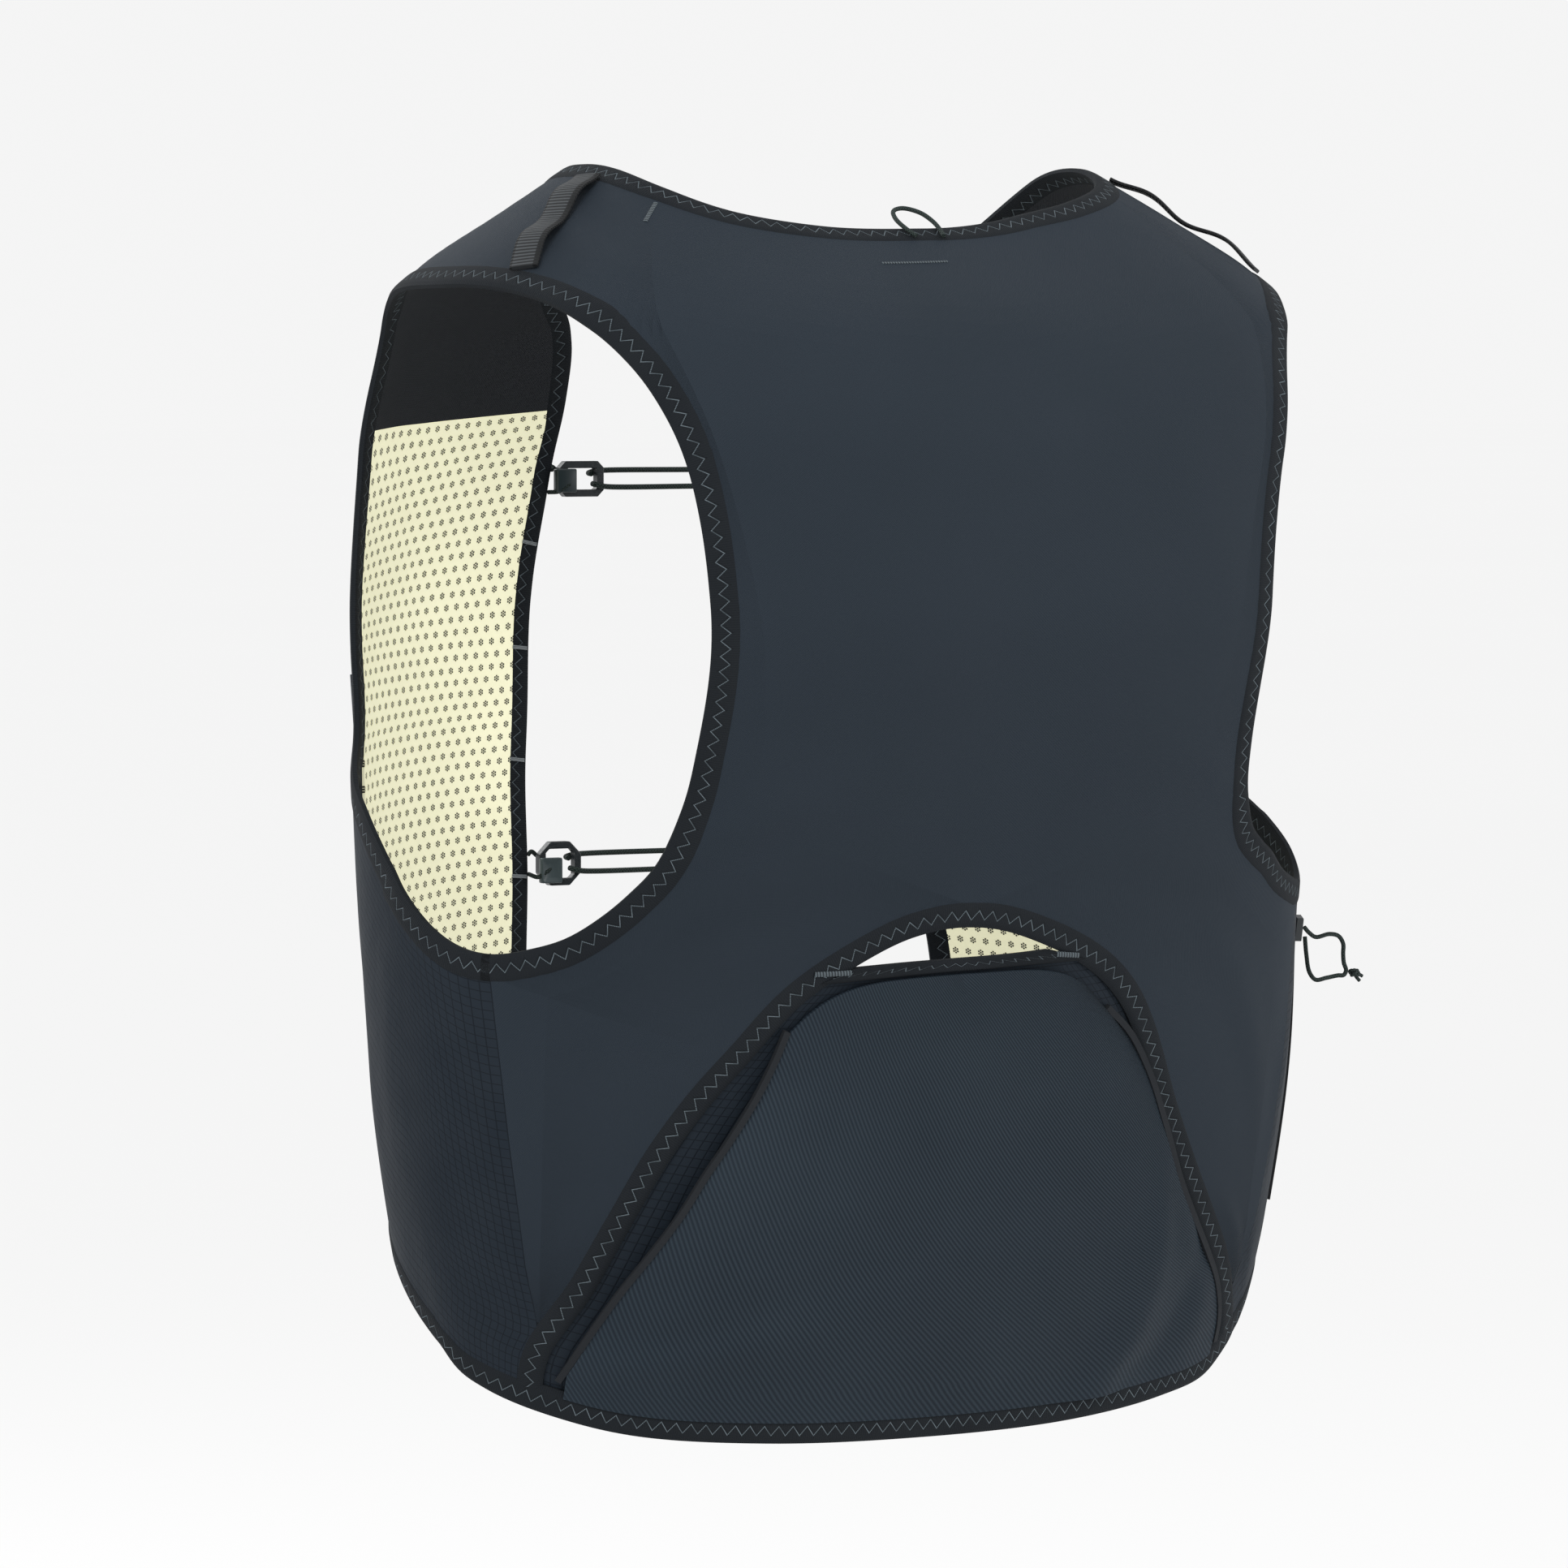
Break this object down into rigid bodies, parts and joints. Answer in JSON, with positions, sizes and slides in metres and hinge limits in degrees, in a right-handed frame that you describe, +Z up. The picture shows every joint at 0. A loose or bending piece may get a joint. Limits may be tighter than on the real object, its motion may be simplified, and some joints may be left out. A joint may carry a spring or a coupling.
{
  "type": "running hydration vest",
  "caption": "Close-fitting running vest in worn shape with an open front joined by elastic cords, armholes, a rear pocket and front flask pockets.",
  "frame": {"origin": "midway between the undersides of the two shoulder straps, on the middle plane of the vest", "axes": "+X to the wearer's right, +Y to the wearer's front, +Z up"},
  "size_m": [0.3844, 0.2525, 0.4475],
  "materials": {
    "shell": "smooth matte stretch cloth",
    "ripstop": "thin ripstop cloth with a fine grid",
    "twill": "ribbed twill with a diagonal weave",
    "binding": "folded binding with zigzag stitching",
    "facing": "close matte knit",
    "mesh": "cream net with small holes",
    "webbing": "ribbed woven webbing",
    "cord": "braided elastic cord",
    "plastic": "satin moulded plastic"
  },
  "bodies": {
    "root": {"arch_binding": "binding", "armhole_binding_left": "binding", "armhole_binding_right": "binding", "back_panel": "shell", "bungee_anchor_lower_right": "plastic", "bungee_anchor_upper_right": "plastic", "bungee_hook_lower_left": "plastic", "bungee_hook_upper_left": "plastic", "chest_bungee_lower": "cord", "chest_bungee_upper": "cord", "edge_loop_lower_left": "cord", "edge_loop_lower_right": "cord", "edge_loop_upper_left": "cord", "edge_loop_upper_right": "cord", "flask_pocket_left": "ripstop", "flask_pocket_right": "ripstop", "front_panel_left": "shell", "front_panel_right": "shell", "hem_binding": "binding", "mesh_lining_left": "mesh", "mesh_lining_right": "mesh", "neck_front_binding": "binding", "neck_hang_loop": "cord", "pocket_liner": "ripstop", "pocket_panel": "twill", "pocket_top_binding": "binding", "pocket_trim_left": "binding", "pocket_trim_right": "binding", "shoulder_facing_left": "facing", "shoulder_facing_right": "facing", "shoulder_webbing_left": "webbing", "shoulder_webbing_right": "webbing", "side_panel_left": "ripstop", "side_panel_right": "ripstop", "side_zip": "webbing", "zip_pull_cord": "cord", "zip_pull_knot": "cord", "zip_slider": "plastic"}
  },
  "joints": []
}
